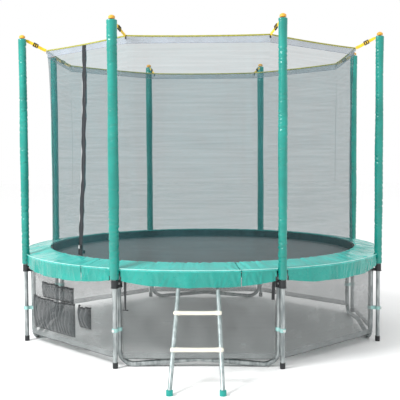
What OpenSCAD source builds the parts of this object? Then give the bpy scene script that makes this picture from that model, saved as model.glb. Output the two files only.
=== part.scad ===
// Round garden trampoline, 10 ft, with an inner safety net, a padded cover, a leg skirt and a ladder.
// Millimetres, +Z up. Built about the mat's centre, then moved in +Y so that the origin is at the
// middle of the whole object's footprint. -Y is the front, where the ladder hangs.

/* [Frame] */
// Radius of the frame rail, to the middle of its tube
rail_r = 1506; // [1500:1:1512]
// Height of the frame rail, to the middle of its tube
rail_z = 675; // [670:1:680]
// Diameter of the frame and leg tubes
frame_tube_d = 38; // [36:0.5:38.5]
// Wall thickness of every steel tube
tube_wall = 1.5; // [1.2:0.1:2]
// Bend radius at the foot of the W-shaped legs
leg_bend_r = 110; // [90:5:130]
// Slope of the two halves of a W-leg's floor bar, in degrees
leg_bar_slope = 5; // [3:0.5:7]

/* [Poles] */
// Radius of the circle that the enclosure poles stand on
pole_ring_r = 1565; // [1563:1:1570]
// Diameter of the enclosure poles
pole_d = 31.8; // [28:0.2:32]
// Outer diameter of the foam sleeve on a pole
sleeve_d = 62; // [56:1:64]
// Height of the sleeve's lower end
sleeve_bottom_z = 640; // [638:1:660]
// Height of the sleeve's upper end
sleeve_top_z = 2455; // [2400:5:2455]
// Height of the whole enclosure, to the top of the pole caps
cap_top_z = 2511; // [2508:1:2525]

/* [Mat] */
// Radius of the mat with its sewn border
mat_r = 1328; // [1324:1:1328]
// Height of the mat's upper face
mat_z = 672; // [668:1:674]
// How many springs hold the mat
spring_count = 64; // [48:8:64]

/* [Pad] */
// Inner radius of the spring pad
pad_inner_r = 1337; // [1335:1:1345]
// Outer radius of the spring pad
pad_outer_r = 1560; // [1558:1:1565]
// Height of the pad's hanging hem
pad_hem_z = 600; // [598:1:630]

/* [Net] */
// Radius of the net where it meets the mat
net_bottom_r = 1325; // [1320:1:1326]
// Radius of the net's top corners
net_top_r = 1365; // [1350:5:1400]
// Height of the net's top edge
net_top_z = 2385; // [2370:1:2390]

/* [Ladder] */
// How far the ladder's feet stand in front of the mat's centre
ladder_reach = 2080; // [2060:10:2120]
// Half of the distance between the ladder's rails at the top
ladder_top_half = 138; // [130:1:145]
// Half of the distance between the ladder's rails at the feet
ladder_foot_half = 170; // [165:1:185]
// Diameter of the ladder's rails
ladder_tube_d = 30; // [26:1:30]

/* [Hidden] */
$fn = 48;
STATIONS = 8;
STEP = 360 / STATIONS;
HALF = STEP / 2;
DOOR_AT = -45;
SEAM_AT = 11.25;

// Steel tubes and the tee joints that carry the rail
tube_r = frame_tube_d / 2;
pole_r = pole_d / 2;
socket_fit = 0.3;
tee_r = tube_r + 3;
stub_r = tube_r + 2;
tee_half_deg = 2.2;
tee_drop = 110;
post_top_z = rail_z - tee_r - 3;
post_bottom_z = 440;
neck_h = 60;
bent_r = tube_r - 0.4;
lap = 1;

// The W-leg's bar, from the foot bend up to the bend in its middle
leg_x = rail_r * sin(HALF);
mid_bend_r = 300;
bar_start_x = leg_x - leg_bend_r - leg_bend_r * sin(leg_bar_slope);
bar_start_z = bent_r + leg_bend_r - leg_bend_r * cos(leg_bar_slope);
bar_end_x = mid_bend_r * sin(leg_bar_slope);
bar_l = (bar_start_x - bar_end_x) / cos(leg_bar_slope);
bar_end_z = bar_start_z + bar_l * sin(leg_bar_slope);
pole_foot_z = 4;
pole_join_z = 1300;
foot_cap_r = pole_r + 3.5;
foot_cap_h = 42;

// Brackets and clamps between leg and pole
bracket_z = 585;
bracket_h = 50;
clamp_z = 262;
clamp_h = 26;

// Mat, springs and net
mat_t = 4;
border_w = 58;
border_t = 8;
mat_disc_r = mat_r - border_w;
spring_r = 7.5;
spring_in = mat_r + 32;
spring_out = rail_r - tube_r - 18;
hook_wire_r = 2;
net_t = 3;
net_bottom_z = mat_z + 73;
net_side = 0.998;
zip_gap = 0.03;
zip_w = 24;
piping_r = 6;

// Pad
pad_t = 20;
pad_flat_r = rail_r - 26;
pad_under_z = rail_z + 27;
pad_rise = 33;
pad_skirt_t = 4;
pad_gap_deg = 0.12;
slit_deg = 1.66;

// Leg skirt with the shoe pockets
skirt_apothem = 1414;
skirt_t = 3;
skirt_half = 550;
skirt_low_z = 60;
skirt_top_z = 640;
cloth = 2;

// Ladder
ladder_r = ladder_tube_d / 2;
hook_in_r = tube_r + 2.5;
hook_out_r = hook_in_r + 4;
hook_w = 22;
hinge_y = -sqrt(rail_r * rail_r - ladder_top_half * ladder_top_half);
ladder_top = [ladder_top_half, -1511, 612];
ladder_foot = [ladder_foot_half, -ladder_reach, 14];
boot_r = 22;
boot_h = 34;
rung_heights = [241, 447];

// The footprint runs from the boots' front to the pad's back
centre_y = ((ladder_reach + boot_r) - pad_outer_r) / 2;

STEEL = "#b9bec2";
TEAL = "#2cb5a5";
PALE_TEAL = "#a0f0dc";
YELLOW = "#f2b822";
BLACK = "#222425";

// ---- placing ----

// The point at radius r and azimuth a, counted from the front towards +X
function polar(r, a, z) = [r * sin(a), -r * cos(a), z];

// The mean of two points, shared t to 1 - t
function between(p, q, t) = p + t * (q - p);

// Turns the front view round to azimuth a
module facing(a) {
    rotate([0, 0, a]) children();
}

// Moves the mat's centre to its place behind the origin
module placed() {
    translate([0, centre_y, 0]) children();
}

// Repeats the children at each pole
module each_station() {
    for (i = [0 : STATIONS - 1]) facing(HALF + i * STEP) children();
}

// Stands the children on the line from p to q, their +Z along it
module along(p, q) {
    d = q - p;
    translate(p) rotate([0, acos(d[2] / norm(d)), atan2(d[1], d[0])]) children();
}

// A round bar from p to q
module rod(p, q, r) {
    along(p, q) cylinder(h = norm(q - p), r = r);
}

// A hollow upright tube
module tube(z0, z1, r, wall) {
    translate([0, 0, z0]) difference() {
        cylinder(h = z1 - z0, r = r);
        translate([0, 0, -1]) cylinder(h = z1 - z0 + 2, r = r - wall);
    }
}

// An upright tube whose upper end is narrowed to slide into the next tube
module necked_tube(z0, z1, r, wall) {
    neck_r = r - wall - socket_fit;
    step = 8;
    rotate_extrude() polygon([
        [r - wall, z0], [r, z0], [r, z1], [neck_r, z1], [neck_r, z1 + neck_h],
        [neck_r - wall, z1 + neck_h], [neck_r - wall, z1 - step], [r - wall, z1 - step]
    ]);
}

// A profile turned from azimuth a over the given angle
module swept(a, angle) {
    rotate([0, 0, a - 90]) rotate_extrude(angle = angle, $fn = 360) children();
}

// The section of a tube, seen at radius r and height z
module ring_section(r, z, outer, inner) {
    translate([r, z]) difference() {
        circle(r = outer);
        circle(r = inner);
    }
}

// ---- frame ----

// Rail segments butt inside the tee joints, one at each pole
module top_rail(i) {
    butt_deg = 0.04;
    color(STEEL) placed() swept(HALF + (i - 2) * STEP + butt_deg, STEP - 2 * butt_deg)
        ring_section(rail_r, rail_z, tube_r, tube_r - tube_wall);
}

// A curved collar round the rail's ends, with a stub below that takes the leg
module tee_joints() {
    color(STEEL) placed() each_station() difference() {
        union() {
            swept(-tee_half_deg, 2 * tee_half_deg) translate([rail_r, rail_z]) circle(r = tee_r);
            translate([0, -rail_r, rail_z - tee_drop]) cylinder(h = tee_drop, r = stub_r);
        }
        swept(-tee_half_deg - 1, 2 * tee_half_deg + 2)
            translate([rail_r, rail_z]) circle(r = tube_r + socket_fit);
        translate([0, -rail_r, rail_z - tee_drop - 1])
            cylinder(h = post_top_z + 1 - (rail_z - tee_drop), r = tube_r + socket_fit);
    }
}

// Straight tubes from the tee joints down to the W-legs
module leg_posts() {
    color(STEEL) placed() each_station() translate([0, -rail_r, 0])
        tube(post_bottom_z, post_top_z, tube_r, tube_wall);
}

// Half of a W-leg, in the plane of its bar: an upright, the foot bend and a sloping bar. The tube
// draws in a little at its bends, and the straight lengths overlap their ends.
module w_leg_side() {
    bend_x = leg_x - leg_bend_r;
    bend_z = bent_r + leg_bend_r;
    translate([leg_x, 0, 0]) necked_tube(bend_z - lap, post_bottom_z, tube_r, tube_wall);
    translate([bend_x, 0, bend_z]) rotate([90, 0, 0]) rotate([0, 0, -90 - leg_bar_slope])
        rotate_extrude(angle = 90 + leg_bar_slope, $fn = 144)
            ring_section(leg_bend_r, 0, bent_r, bent_r - tube_wall);
    translate([bar_end_x, 0, bar_end_z]) rotate([0, 90 + leg_bar_slope, 0])
        tube(-lap, bar_l + lap, tube_r, tube_wall);
}

module w_leg(a) {
    color(STEEL) placed() facing(a) translate([0, -rail_r * cos(HALF), 0]) {
        w_leg_side();
        mirror([1, 0, 0]) w_leg_side();
        translate([0, 0, bar_end_z - mid_bend_r * cos(leg_bar_slope)]) rotate([90, 0, 0])
            rotate([0, 0, 90 - leg_bar_slope]) rotate_extrude(angle = 2 * leg_bar_slope, $fn = 144)
                ring_section(mid_bend_r, 0, bent_r, bent_r - tube_wall);
    }
}

// ---- enclosure poles ----

module lower_poles() {
    color(STEEL) placed() each_station() translate([0, -pole_ring_r, 0])
        tube(pole_foot_z, pole_join_z, pole_r, tube_wall);
}

// The upper pole's narrowed lower end slides into the lower pole
module upper_poles() {
    color(STEEL) placed() each_station() translate([0, -pole_ring_r, sleeve_top_z])
        rotate([180, 0, 0]) necked_tube(0, sleeve_top_z - pole_join_z, pole_r, tube_wall);
}

// A plug with a flange, a neck for the strap and a domed head
module pole_caps() {
    flange_r = 27;
    flange_h = 8;
    neck_r = 12;
    head_r = 24;
    head_h = 26;
    head_z = cap_top_z - head_h;
    plug_h = 30;
    color(YELLOW) placed() each_station() translate([0, -pole_ring_r, 0]) {
        translate([0, 0, sleeve_top_z - plug_h])
            cylinder(h = plug_h, r = pole_r - tube_wall - socket_fit);
        translate([0, 0, sleeve_top_z]) cylinder(h = flange_h, r = flange_r);
        translate([0, 0, sleeve_top_z]) cylinder(h = head_z - sleeve_top_z + 2, r = neck_r);
        translate([0, 0, head_z]) rotate_extrude() difference() {
            intersection() {
                translate([0, head_h - 30]) circle(r = 30, $fn = 96);
                square([head_r, head_h]);
            }
            translate([-40, -80]) square([40, 160]);
        }
    }
}

module foot_caps() {
    color(BLACK) placed() each_station() translate([0, -pole_ring_r, 0]) difference() {
        cylinder(h = foot_cap_h, r = foot_cap_r);
        translate([0, 0, pole_foot_z]) cylinder(h = foot_cap_h, r = pole_r);
    }
}

// A moulded block clamped round a leg and a pole, two bores in one body
module twin_block(z, h, leg_lobe, pole_lobe, waist, leg_bore) {
    translate([0, 0, z]) difference() {
        union() {
            translate([0, -rail_r, 0]) cylinder(h = h, r = leg_lobe);
            translate([0, -pole_ring_r, 0]) cylinder(h = h, r = pole_lobe);
            translate([-waist / 2, -pole_ring_r, 0]) cube([waist, pole_ring_r - rail_r, h]);
        }
        translate([0, -rail_r, -1]) cylinder(h = h + 2, r = leg_bore);
        translate([0, -pole_ring_r, -1]) cylinder(h = h + 2, r = pole_r);
    }
}

// The bracket grips the tee joint's stub, and has a rim at its foot
module upper_brackets() {
    rim_h = 6;
    color(BLACK) placed() each_station() difference() {
        union() {
            twin_block(bracket_z, bracket_h, stub_r + 6, pole_r + 9, 34, stub_r);
            twin_block(bracket_z - rim_h, rim_h, stub_r + 8, pole_r + 12, 40, stub_r);
        }
        bolt_hole(bracket_z + bracket_h / 2, 4);
    }
}

// A hole between the leg and the pole, across the block
module bolt_hole(z, r) {
    mid_y = -(pole_ring_r - pole_r + rail_r + stub_r) / 2;
    translate([-60, mid_y, z]) rotate([0, 90, 0]) cylinder(h = 120, r = r);
}

module bracket_bolts() {
    z = bracket_z + bracket_h / 2;
    mid_y = -(pole_ring_r - pole_r + rail_r + stub_r) / 2;
    head_r = 7.5;
    head_h = 6;
    grip = 17;
    color(STEEL) placed() each_station() translate([0, mid_y, z]) rotate([0, 90, 0]) {
        translate([0, 0, -grip - head_h]) cylinder(h = 2 * (grip + head_h), r = 4);
        translate([0, 0, grip]) cylinder(h = head_h, r = head_r);
        translate([0, 0, -grip - head_h]) cylinder(h = head_h, r = head_r, $fn = 6);
    }
}

// Lighter clamps low on the legs
module lower_clamps() {
    color("#a9c4c0") placed() each_station() difference() {
        twin_block(clamp_z, clamp_h, tube_r + 6, pole_r + 6, 26, tube_r);
        translate([0, -pole_ring_r - pole_r - 3, clamp_z + clamp_h / 2]) rotate([90, 0, 0])
            cylinder(h = 20, r = 4);
    }
}

// A screw in the clamp's outer side, with a round knob
module clamp_bolts() {
    face_y = -pole_ring_r - pole_r - 6;
    color("#d9dcdc") placed() each_station()
        translate([0, face_y, clamp_z + clamp_h / 2]) rotate([90, 0, 0]) {
            translate([0, 0, -3]) cylinder(h = 5, r = 4);
            cylinder(h = 9, r = 9);
        }
}

// Foam tubes in a coloured skin
module pole_sleeves() {
    color(TEAL) placed() each_station() translate([0, -pole_ring_r, 0])
        tube(sleeve_bottom_z, sleeve_top_z, sleeve_d / 2, sleeve_d / 2 - pole_r);
}

// ---- spring pad ----

module pad_top_section() {
    inner_z = pad_under_z + pad_rise;
    polygon([
        [pad_inner_r, inner_z],
        [pad_flat_r, pad_under_z],
        [pad_outer_r, pad_under_z],
        [pad_outer_r, pad_under_z + pad_t - 4],
        [pad_outer_r - 4, pad_under_z + pad_t],
        [pad_flat_r, pad_under_z + pad_t + 4],
        [pad_inner_r, inner_z + pad_t]
    ]);
}

module pad_skirt_section() {
    overlap = 2;
    translate([pad_outer_r - pad_skirt_t, pad_hem_z])
        square([pad_skirt_t, pad_under_z + overlap - pad_hem_z]);
}

// One of the eight padded segments. Its seams lie beside the poles, it is cut round its pole, and
// its skirt is slit there. The segment over the ladder keeps only the skirt on the pole's left.
module pad(i) {
    first = SEAM_AT + (i - 1) * STEP + pad_gap_deg;
    last = first + STEP - 2 * pad_gap_deg;
    pole = HALF + (i - 1) * STEP;
    color(PALE_TEAL) placed() {
        difference() {
            swept(first, last - first) pad_top_section();
            facing(pole) translate([0, -pole_ring_r, pad_hem_z - 10])
                cylinder(h = 300, r = sleeve_d / 2 + 3);
        }
        swept(first, pole - slit_deg - first) pad_skirt_section();
        if (i < STATIONS) swept(pole + slit_deg, last - pole - slit_deg) pad_skirt_section();
    }
}

// The hanging skirt over the ladder, which gives way when the ladder is lifted
module front_pad_skirt() {
    first = -HALF + slit_deg;
    color(TEAL) placed() swept(first, SEAM_AT - pad_gap_deg - first)
        translate([pad_outer_r - pad_skirt_t, pad_hem_z])
            square([pad_skirt_t, pad_under_z - pad_hem_z]);
}

// Webbing tails of the pad's ties beside the two front legs, with a toggle at one end
module pad_ties() {
    tie_r = 1538;
    color(BLACK) placed() {
        facing(-HALF + 2.6) translate([-9, -tie_r, 425]) cube([18, 2, pad_under_z - 425]);
        facing(-HALF + 2.6) translate([-22, -tie_r - 4, 415]) cube([44, 10, 10]);
        facing(HALF - 2.2) translate([-9, -tie_r, 495]) cube([18, 2, pad_under_z - 495]);
    }
}

// ---- mat ----

module mat() {
    color("#4b4f52") placed() translate([0, 0, mat_z - mat_t])
        cylinder(h = mat_t, r = mat_disc_r, $fn = 180);
}

module mat_border() {
    color(BLACK) placed() rotate_extrude($fn = 180)
        translate([mat_disc_r, mat_z - mat_t / 2 - border_t / 2]) square([border_w, border_t]);
}

// Repeats the children at each spring, half a pitch off the poles
module each_spring() {
    pitch = 360 / spring_count;
    for (k = [0 : spring_count - 1]) facing((k + 0.5) * pitch) children();
}

// Flat triangular rings, sewn to the border by webbing loops
module v_rings() {
    ring_z = mat_z - mat_t / 2 - 2;
    color(STEEL) placed() each_spring() translate([0, -mat_r, ring_z]) linear_extrude(4)
        difference() {
            polygon([[-20, -1], [20, -1], [4, -29], [-4, -29]]);
            polygon([[-13, -5], [13, -5], [1, -24.5], [-1, -24.5]]);
        }
}

// A coil as a plain bar, with a straight wire hook at each end
module springs() {
    z = mat_z - mat_t / 2;
    color(STEEL) placed() each_spring() {
        rod([0, -spring_in, z], [0, -spring_out, z], spring_r);
        rod([0, -spring_in - 1, z], [0, -mat_r - 29.5, z], hook_wire_r);
        rod([0, -spring_out + 1, z], [0, -rail_r + tube_r + 0.5, z + 1], hook_wire_r);
    }
}

// ---- net ----

// A point of the net panel that faces a: s runs from side to side, -1 to 1, and t from the curved
// foot to the straight top. inset moves it towards the inside.
function net_point(a, s, t, inset) =
    between(
        polar(net_bottom_r - inset, a + s * HALF, net_bottom_z),
        between(
            polar(net_top_r - inset, a - HALF, net_top_z),
            polar(net_top_r - inset, a + HALF, net_top_z),
            (1 + s) / 2
        ),
        t
    );

// A ruled sheet between two places across a panel. Its two faces are cut into triangles along the
// same diagonals, so that they stay apart.
module net_sheet(a, s0, s1) {
    n = 8;
    corners = [[0, 0], [1, 0], [1, net_t], [0, net_t]];
    pts = [for (k = [0 : n], c = corners) net_point(a, s0 + (s1 - s0) * k / n, c[0], c[1])];
    sides = [
        for (k = [0 : n - 1], c = [0 : 3])
            let (p = 4 * k + c, q = 4 * k + (c + 1) % 4)
                each c == 2
                    ? [[p, q, p + 4], [q, q + 4, p + 4]]
                    : [[p, q, q + 4], [p, q + 4, p + 4]]
    ];
    ends = [[2, 1, 0], [3, 2, 0], [4 * n, 4 * n + 1, 4 * n + 2], [4 * n, 4 * n + 2, 4 * n + 3]];
    polyhedron(points = pts, faces = concat(ends, sides), convexity = 4);
}

// One of the eight panels. The door panel is split for its zip.
module net_panel(i) {
    a = (i - 1) * STEP;
    color("#dfe8ea", 0.5) placed() {
        if (a == 360 + DOOR_AT) {
            net_sheet(a, -net_side, -zip_gap);
            net_sheet(a, zip_gap, net_side);
        } else {
            net_sheet(a, -net_side, net_side);
        }
    }
}

// The solid band at the net's foot, sewn to the mat's border
module net_bottom_band() {
    low_z = mat_z - mat_t / 2 + border_t / 2;
    color(BLACK) placed() rotate_extrude($fn = 180)
        translate([net_bottom_r - 4, low_z]) square([net_t, net_bottom_z - 3 - low_z]);
}

// Piping round the net's top edge, with a bead at each corner
module net_top_binding() {
    z = net_top_z + piping_r + 2;
    bead_r = piping_r + 0.7;
    color("#c9d84a") placed() each_station() {
        p = polar(net_top_r, 0, z);
        translate(p) sphere(r = bead_r);
        rod(p, polar(net_top_r, STEP, z), piping_r);
    }
}

// Webbing from each cap's neck to the net's corner. It comes off the neck flat, turns on edge, and
// runs in two lengths with the buckle between.
function strap_end() = [0, -net_top_r - piping_r - 1, net_top_z + piping_r + 2];
function strap_start() = [0, -pole_ring_r + 34, sleeve_top_z + 11];

module strap_length(p, q) {
    along(p, q) translate([-12.5, -1, 0]) cube([25, 2, norm(q - p)]);
}

module net_straps() {
    loop_r = 12.4;
    color(YELLOW) placed() each_station() {
        strap_length(strap_start(), between(strap_start(), strap_end(), 0.34));
        strap_length(between(strap_start(), strap_end(), 0.58), strap_end());
        translate([-12.5, -pole_ring_r + 13, sleeve_top_z + 10]) cube([25, 24, 2]);
        translate([0, -pole_ring_r, sleeve_top_z + 9]) tube(0, 12, loop_r + 2.2, 2.2);
    }
}

module strap_buckles() {
    p = between(strap_start(), strap_end(), 0.345);
    q = between(strap_start(), strap_end(), 0.575);
    l = norm(q - p);
    color(BLACK) placed() each_station() along(p, q) difference() {
        translate([-17, -4, 0]) cube([34, 8, l]);
        translate([-13, -5, l * 0.18]) cube([26, 10, l * 0.22]);
        translate([-13, -5, l * 0.6]) cube([26, 10, l * 0.22]);
    }
}

// ---- door ----

// The tape and its teeth, as one flat bar between the door panel's two halves
module door_zip() {
    low = net_point(DOOR_AT, 0, 0.004, net_t / 2);
    high = net_point(DOOR_AT, 0, 0.996, net_t / 2);
    color(BLACK) placed() along(low, high) translate([-net_t / 2, -zip_w / 2, 0])
        cube([net_t, zip_w, norm(high - low)]);
}

module zip_slider() {
    slider_t = 9;
    slider_gap = 1.8;
    color("#9aa0a4") placed() facing(DOOR_AT)
        translate([-7, -net_bottom_r + slider_gap - slider_t, net_bottom_z + 60])
            cube([14, slider_t, 26]);
}

// The side-release clip that joins the door's two flaps at its foot, on the inner side so that it goes
// down with the mat past the pads
clip_z = net_bottom_z + 22;
clip_y = -net_bottom_r + 14;

module door_clip_socket() {
    color(BLACK) placed() facing(DOOR_AT) translate([2, clip_y, clip_z]) difference() {
        cube([36, 10, 26]);
        translate([-1, 2.5, 4]) cube([25, 5, 18]);
    }
}

module door_clip_plug() {
    color(BLACK) placed() facing(DOOR_AT) translate([0, clip_y, clip_z]) {
        translate([-36, 0, 0]) cube([36, 10, 26]);
        translate([-1, 3, 5]) cube([24, 4, 16]);
    }
}

// ---- leg skirt ----

// Eight flat mesh curtains between the legs
module leg_skirt() {
    color("#8d9294") placed() for (i = [0 : STATIONS - 1]) facing(i * STEP)
        translate([-skirt_half, -skirt_apothem - skirt_t, skirt_low_z])
            cube([2 * skirt_half, skirt_t, skirt_top_z - skirt_low_z]);
}

// A pouch open at the top
module pouch(x0, x1, z0, z1, depth) {
    translate([x0, -skirt_apothem - skirt_t - 0.5 - depth, z0]) difference() {
        cube([x1 - x0, depth, z1 - z0]);
        translate([cloth, cloth, cloth]) cube([x1 - x0 - 2 * cloth, depth - 2 * cloth, z1 - z0]);
    }
}

module shoe_pockets() {
    color("#6f7476") placed() facing(DOOR_AT) {
        pouch(-385, 45, 391, 512, 34);
        pouch(-515, 60, 130, 388, 44);
        pouch(128, 268, 225, 388, 38);
    }
}

// ---- ladder ----

module ladder_tube(r) {
    rod(ladder_foot, ladder_top, r);
}

module ladder_rail(side) {
    color("#c8cccd") placed() mirror([side < 0 ? 1 : 0, 0, 0]) difference() {
        ladder_tube(ladder_r);
        along(ladder_foot, ladder_top) translate([0, 0, -1])
            cylinder(h = norm(ladder_top - ladder_foot) + 2, r = ladder_r - tube_wall);
    }
}

// A flat step between the rails, let on to them at its ends
module ladder_rungs() {
    step_d = 56;
    step_t = 24;
    color("#dfe6e6") placed() for (z = rung_heights) {
        c = between(ladder_foot, ladder_top, (z - ladder_foot[2]) / (ladder_top[2] - ladder_foot[2]));
        difference() {
            translate([-c[0], c[1], z]) rotate([0, 90, 0]) linear_extrude(2 * c[0]) {
                translate([0, (step_d - step_t) / 2]) circle(d = step_t);
                translate([0, -(step_d - step_t) / 2]) circle(d = step_t);
                square([step_t, step_d - step_t], center = true);
            }
            ladder_tube(ladder_r);
            mirror([1, 0, 0]) ladder_tube(ladder_r);
        }
    }
}

// A steel strip that curls over the rail, its tail held in the ladder rail's end
module hook_section() {
    c = [hinge_y, rail_z];
    translate(c) difference() {
        circle(r = hook_out_r);
        circle(r = hook_in_r);
        polygon([[0, 0], [-80, -28], [-80, -80], [80, -80], [80, -22]]);
    }
    polygon([
        [-1536, 588], [-1533, 585.3], [-1508, 612], [hinge_y - 21.7, 665],
        [hinge_y - 25.3, 670], [-1512.4, 613]
    ]);
}

module ladder_hooks() {
    color(STEEL) placed() for (x = [-ladder_top_half, ladder_top_half])
        translate([x - hook_w / 2, 0, 0]) rotate([90, 0, 90]) linear_extrude(hook_w) hook_section();
}

module ladder_feet() {
    color(TEAL) placed() for (side = [0, 1]) mirror([side, 0, 0]) difference() {
        translate([ladder_foot[0], ladder_foot[1], 0]) cylinder(h = boot_h, r = boot_r);
        ladder_tube(ladder_r);
    }
}

top_rail(1);  // top_rail_1
top_rail(2);  // top_rail_2
top_rail(3);  // top_rail_3
top_rail(4);  // top_rail_4
top_rail(5);  // top_rail_5
top_rail(6);  // top_rail_6
top_rail(7);  // top_rail_7
top_rail(8);  // top_rail_8
tee_joints();
leg_posts();
w_leg(0);  // w_leg_front
w_leg(90);  // w_leg_right
w_leg(180);  // w_leg_back
w_leg(270);  // w_leg_left
lower_poles();
upper_poles();
pole_caps();
foot_caps();
upper_brackets();
bracket_bolts();
lower_clamps();
clamp_bolts();
pole_sleeves();
pad(1);  // pad_1
pad(2);  // pad_2
pad(3);  // pad_3
pad(4);  // pad_4
pad(5);  // pad_5
pad(6);  // pad_6
pad(7);  // pad_7
pad(8);  // pad_8
front_pad_skirt();
pad_ties();
mat();
mat_border();
v_rings();
springs();
net_panel(1);  // net_panel_1
net_panel(2);  // net_panel_2
net_panel(3);  // net_panel_3
net_panel(4);  // net_panel_4
net_panel(5);  // net_panel_5
net_panel(6);  // net_panel_6
net_panel(7);  // net_panel_7
net_panel(8);  // net_panel_8
net_bottom_band();
net_top_binding();
net_straps();
strap_buckles();
door_zip();
zip_slider();
door_clip_socket();
door_clip_plug();
leg_skirt();
shoe_pockets();
ladder_rail(-1);  // ladder_rail_left
ladder_rail(1);  // ladder_rail_right
ladder_rungs();
ladder_hooks();
ladder_feet();
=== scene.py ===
import math

import bpy
import numpy as np
from mathutils import Matrix, Vector


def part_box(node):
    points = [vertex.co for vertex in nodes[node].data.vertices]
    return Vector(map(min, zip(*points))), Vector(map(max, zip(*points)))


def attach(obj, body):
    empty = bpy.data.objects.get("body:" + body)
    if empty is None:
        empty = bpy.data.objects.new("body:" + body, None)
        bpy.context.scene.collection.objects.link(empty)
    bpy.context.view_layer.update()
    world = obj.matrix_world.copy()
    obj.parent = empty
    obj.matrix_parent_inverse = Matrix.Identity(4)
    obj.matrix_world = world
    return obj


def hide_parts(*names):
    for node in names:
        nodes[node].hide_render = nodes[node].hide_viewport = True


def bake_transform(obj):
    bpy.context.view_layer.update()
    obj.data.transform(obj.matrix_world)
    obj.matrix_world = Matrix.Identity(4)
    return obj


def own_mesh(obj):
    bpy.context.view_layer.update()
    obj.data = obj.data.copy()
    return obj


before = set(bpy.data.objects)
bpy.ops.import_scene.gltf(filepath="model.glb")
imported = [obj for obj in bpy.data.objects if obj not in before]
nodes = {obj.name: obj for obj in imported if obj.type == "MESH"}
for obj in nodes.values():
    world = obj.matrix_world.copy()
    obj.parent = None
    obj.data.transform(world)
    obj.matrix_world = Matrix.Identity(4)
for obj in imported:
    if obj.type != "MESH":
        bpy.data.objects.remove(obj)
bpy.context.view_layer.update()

# ---- Floor, light and camera ----
# A pale studio: white surroundings light the trampoline softly from all sides, and one broad lamp
# high on the left gives the sleeves and the pad their highlights.

mat_low, mat_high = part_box("mat")
CENTRE_Y = (mat_low.y + mat_high.y) / 2


def linear(*rgb):
    """Linear colour from 0-255 display values: ((c + 0.055) / 1.055) ** 2.4 above the toe."""
    c = np.array(rgb) / 255
    return tuple(float(x) for x in np.where(c < 0.04045, c / 12.92, ((c + 0.055) / 1.055) ** 2.4))


def finish(name, colour, roughness, **plain):
    """A material with its colour, roughness and other constants on the shader's own sockets."""
    made = bpy.data.materials.new(name)
    made.use_nodes = True
    shader = made.node_tree.nodes["Principled BSDF"]
    shader.inputs["Base Color"].default_value = (*colour, 1)
    shader.inputs["Roughness"].default_value = roughness
    for socket, value in plain.items():
        shader.inputs[socket.replace("_", " ")].default_value = value
    return made


def node(made, kind, inputs=(), **settings):
    """A node of this kind; each input is a (socket, value or output socket) pair."""
    n = made.node_tree.nodes.new("ShaderNode" + kind)
    for key, value in settings.items():
        setattr(n, key, value)
    for key, value in inputs:
        if isinstance(value, bpy.types.NodeSocket):
            made.node_tree.links.new(value, n.inputs[key])
        else:
            n.inputs[key].default_value = value
    return n


def place_of(made, stretch=(1, 1, 1), kind="Object"):
    """The pattern's coordinates, in metres, each axis times its stretch."""
    raw = node(made, "TexCoord").outputs[kind]
    return node(made, "Mapping", [("Vector", raw), ("Scale", stretch)]).outputs[0]


def noise(made, scale, detail=3.0, stretch=(1, 1, 1), kind="Object"):
    """Cloudy values from 0 to 1, scale clouds to the metre."""
    where = place_of(made, stretch, kind)
    return node(made, "TexNoise", [("Vector", where), ("Scale", scale), ("Detail", detail)]).outputs[0]


def blotch(made, fac, dark, light, low=0.35, high=0.65):
    """Base colour runs from dark to light as fac runs from low to high."""
    ramp = node(made, "ValToRGB", [("Fac", fac)])
    ramp.color_ramp.elements[0].position = low
    ramp.color_ramp.elements[0].color = (*dark, 1)
    ramp.color_ramp.elements[1].position = high
    ramp.color_ramp.elements[1].color = (*light, 1)
    shader = made.node_tree.nodes["Principled BSDF"]
    made.node_tree.links.new(ramp.outputs[0], shader.inputs["Base Color"])


def patchy_gloss(made, fac, low, high):
    """Roughness runs from low to high with fac."""
    spread = node(made, "MapRange", [("Value", fac), ("To Min", low), ("To Max", high)])
    shader = made.node_tree.nodes["Principled BSDF"]
    made.node_tree.links.new(spread.outputs[0], shader.inputs["Roughness"])


def relief(made, fac, depth, strength=1.0):
    """Adds fac's relief, depth metres deep, on top of any that the material has."""
    shader = made.node_tree.nodes["Principled BSDF"]
    inputs = [("Height", fac), ("Distance", depth), ("Strength", strength)]
    if shader.inputs["Normal"].links:
        inputs.append(("Normal", shader.inputs["Normal"].links[0].from_socket))
    made.node_tree.links.new(node(made, "Bump", inputs).outputs[0], shader.inputs["Normal"])


def polar(r, azimuth, z):
    """Points at radius r round the mat's middle, azimuth in degrees from the front towards +X."""
    a = np.radians(azimuth)
    r, a, z = np.broadcast_arrays(np.asarray(r, float), a, np.asarray(z, float))
    return np.stack([r * np.sin(a), CENTRE_Y - r * np.cos(a), z], -1)


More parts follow.
